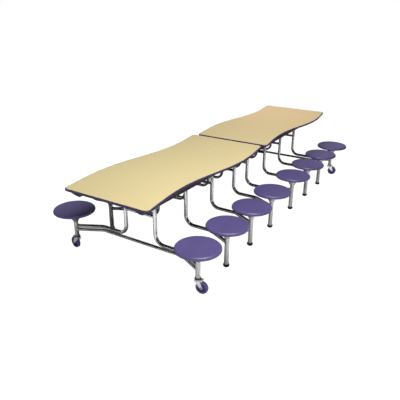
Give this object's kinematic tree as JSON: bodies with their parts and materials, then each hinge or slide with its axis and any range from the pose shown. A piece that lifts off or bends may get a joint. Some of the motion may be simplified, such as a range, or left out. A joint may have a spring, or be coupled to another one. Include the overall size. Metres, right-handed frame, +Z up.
{
  "type": "mobile cafeteria table",
  "caption": "Folding mobile cafeteria table: wavy split top on a centre hinge, fixed round stools on bent-tube frames that stay upright, and swivel casters under the end stools.",
  "frame": {"origin": "on the floor under the centre of the open table", "axes": "+X along the table, +Y across it, +Z up"},
  "size_m": [3.658, 1.571, 0.705],
  "materials": {
    "maple_laminate": "satin",
    "wood_core": "raw",
    "purple_edge": "satin",
    "seat_plastic": "satin",
    "bright_tube": "polished",
    "satin_post": "satin",
    "black_steel": "satin",
    "zinc_hardware": "zinc",
    "black_plastic": "moulded",
    "caster_steel": "zinc",
    "wheel_plastic": "moulded"
  },
  "bodies": {
    "frame_1": {"frame_1_legs": "bright_tube", "frame_1_posts": "satin_post", "frame_1_seats": "seat_plastic", "frame_1_crossbar": "bright_tube", "frame_1_caster_sockets": "black_plastic"},
    "frame_2": {"frame_2_legs": "bright_tube", "frame_2_posts": "satin_post", "frame_2_seats": "seat_plastic", "frame_2_glides": "black_plastic"},
    "frame_3": {"frame_3_legs": "bright_tube", "frame_3_posts": "satin_post", "frame_3_seats": "seat_plastic", "frame_3_glides": "black_plastic"},
    "frame_4": {"frame_4_legs": "bright_tube", "frame_4_posts": "satin_post", "frame_4_seats": "seat_plastic", "frame_4_glides": "black_plastic"},
    "frame_5": {"frame_5_legs": "bright_tube", "frame_5_posts": "satin_post", "frame_5_seats": "seat_plastic", "frame_5_glides": "black_plastic"},
    "frame_6": {"frame_6_legs": "bright_tube", "frame_6_posts": "satin_post", "frame_6_seats": "seat_plastic", "frame_6_glides": "black_plastic"},
    "frame_7": {"frame_7_legs": "bright_tube", "frame_7_posts": "satin_post", "frame_7_seats": "seat_plastic", "frame_7_glides": "black_plastic"},
    "frame_8": {"frame_8_legs": "bright_tube", "frame_8_posts": "satin_post", "frame_8_seats": "seat_plastic", "frame_8_crossbar": "bright_tube", "frame_8_caster_sockets": "black_plastic"},
    "near_half": {"near_top_panel": "wood_core", "near_top_laminate": "maple_laminate", "near_edge_band": "purple_edge", "near_side_rails": "black_steel", "near_hangers": "black_steel", "near_fasteners": "zinc_hardware"},
    "near_links": {"near_link_bars": "black_steel"},
    "far_half": {"far_top_panel": "wood_core", "far_top_laminate": "maple_laminate", "far_edge_band": "purple_edge", "far_side_rails": "black_steel", "far_hangers": "black_steel", "far_fasteners": "zinc_hardware"},
    "far_links": {"far_link_bars": "black_steel"},
    "centre_bridge": {"centre_bridge": "black_steel"},
    "caster_near_left_swivel": {"caster_near_left_fork": "caster_steel"},
    "caster_near_left_roll": {"caster_near_left_wheel": "wheel_plastic"},
    "caster_near_right_swivel": {"caster_near_right_fork": "caster_steel"},
    "caster_near_right_roll": {"caster_near_right_wheel": "wheel_plastic"},
    "caster_far_left_swivel": {"caster_far_left_fork": "caster_steel"},
    "caster_far_left_roll": {"caster_far_left_wheel": "wheel_plastic"},
    "caster_far_right_swivel": {"caster_far_right_fork": "caster_steel"},
    "caster_far_right_roll": {"caster_far_right_wheel": "wheel_plastic"}
  },
  "joints": [
    {"name": "fold", "type": "hinge", "parent": "frame_1", "child": "near_half", "pos_m": [-1.424, 0, 0.66], "axis": [0, -1, 0], "range_deg": [0, 75]},
    {"name": "frame_2_pivot", "type": "hinge", "parent": "near_half", "child": "frame_2", "pos_m": [-0.997, 0, 0.66], "axis": [0, 1, 0], "range_deg": [0, 75]},
    {"name": "frame_3_pivot", "type": "hinge", "parent": "near_half", "child": "frame_3", "pos_m": [-0.57, 0, 0.66], "axis": [0, 1, 0], "range_deg": [0, 75]},
    {"name": "frame_4_pivot", "type": "hinge", "parent": "near_half", "child": "frame_4", "pos_m": [-0.143, 0, 0.66], "axis": [0, 1, 0], "range_deg": [0, 75]},
    {"name": "near_hinge", "type": "hinge", "parent": "near_half", "child": "centre_bridge", "pos_m": [-0.06, 0, 0.67], "axis": [0, 1, 0], "range_deg": [0, 75]},
    {"name": "far_hinge", "type": "hinge", "parent": "centre_bridge", "child": "far_half", "pos_m": [0.06, 0, 0.67], "axis": [0, 1, 0], "range_deg": [0, 75]},
    {"name": "frame_5_pivot", "type": "hinge", "parent": "far_half", "child": "frame_5", "pos_m": [0.143, 0, 0.66], "axis": [0, -1, 0], "range_deg": [0, 75]},
    {"name": "frame_6_pivot", "type": "hinge", "parent": "far_half", "child": "frame_6", "pos_m": [0.57, 0, 0.66], "axis": [0, -1, 0], "range_deg": [0, 75]},
    {"name": "frame_7_pivot", "type": "hinge", "parent": "far_half", "child": "frame_7", "pos_m": [0.997, 0, 0.66], "axis": [0, -1, 0], "range_deg": [0, 75]},
    {"name": "frame_8_pivot", "type": "hinge", "parent": "far_half", "child": "frame_8", "pos_m": [1.424, 0, 0.66], "axis": [0, -1, 0], "range_deg": [0, 75]},
    {"name": "near_link_swing", "type": "hinge", "parent": "frame_1", "child": "near_links", "pos_m": [-1.424, 0, 0.56], "axis": [0, -1, 0], "range_deg": [0, 75]},
    {"name": "far_link_swing", "type": "hinge", "parent": "frame_8", "child": "far_links", "pos_m": [1.424, 0, 0.56], "axis": [0, 1, 0], "range_deg": [0, 75]},
    {"name": "caster_near_left_swivel", "type": "hinge", "parent": "frame_1", "child": "caster_near_left_swivel", "pos_m": [-1.5355, 0.613, 0.11], "axis": [0, 0, 1], "continuous": true},
    {"name": "caster_near_left_roll", "type": "hinge", "parent": "caster_near_left_swivel", "child": "caster_near_left_roll", "pos_m": [-1.5296, 0.64648, 0.05], "axis": [-0.9848, 0.1736, 0], "continuous": true},
    {"name": "caster_near_right_swivel", "type": "hinge", "parent": "frame_1", "child": "caster_near_right_swivel", "pos_m": [-1.5355, -0.613, 0.11], "axis": [0, 0, 1], "continuous": true},
    {"name": "caster_near_right_roll", "type": "hinge", "parent": "caster_near_right_swivel", "child": "caster_near_right_roll", "pos_m": [-1.53313, -0.64692, 0.05], "axis": [0.9976, 0.0698, 0], "continuous": true},
    {"name": "caster_far_left_swivel", "type": "hinge", "parent": "frame_8", "child": "caster_far_left_swivel", "pos_m": [1.5355, 0.613, 0.11], "axis": [0, 0, 1], "continuous": true},
    {"name": "caster_far_left_roll", "type": "hinge", "parent": "caster_far_left_swivel", "child": "caster_far_left_roll", "pos_m": [1.52113, 0.64381, 0.05], "axis": [-0.9063, -0.4226, 0], "continuous": true},
    {"name": "caster_far_right_swivel", "type": "hinge", "parent": "frame_8", "child": "caster_far_right_swivel", "pos_m": [1.5355, -0.613, 0.11], "axis": [0, 0, 1], "continuous": true},
    {"name": "caster_far_right_roll", "type": "hinge", "parent": "caster_far_right_swivel", "child": "caster_far_right_roll", "pos_m": [1.55146, -0.64302, 0.05], "axis": [0.8829, 0.4695, 0], "continuous": true}
  ],
  "couplings": [
    {"joint": "frame_2_pivot", "follows": "fold", "ratio": 1},
    {"joint": "frame_3_pivot", "follows": "fold", "ratio": 1},
    {"joint": "frame_4_pivot", "follows": "fold", "ratio": 1},
    {"joint": "near_hinge", "follows": "fold", "ratio": 1},
    {"joint": "far_hinge", "follows": "fold", "ratio": 1},
    {"joint": "frame_5_pivot", "follows": "fold", "ratio": 1},
    {"joint": "frame_6_pivot", "follows": "fold", "ratio": 1},
    {"joint": "frame_7_pivot", "follows": "fold", "ratio": 1},
    {"joint": "frame_8_pivot", "follows": "fold", "ratio": 1},
    {"joint": "near_link_swing", "follows": "fold", "ratio": 1},
    {"joint": "far_link_swing", "follows": "fold", "ratio": 1}
  ]
}
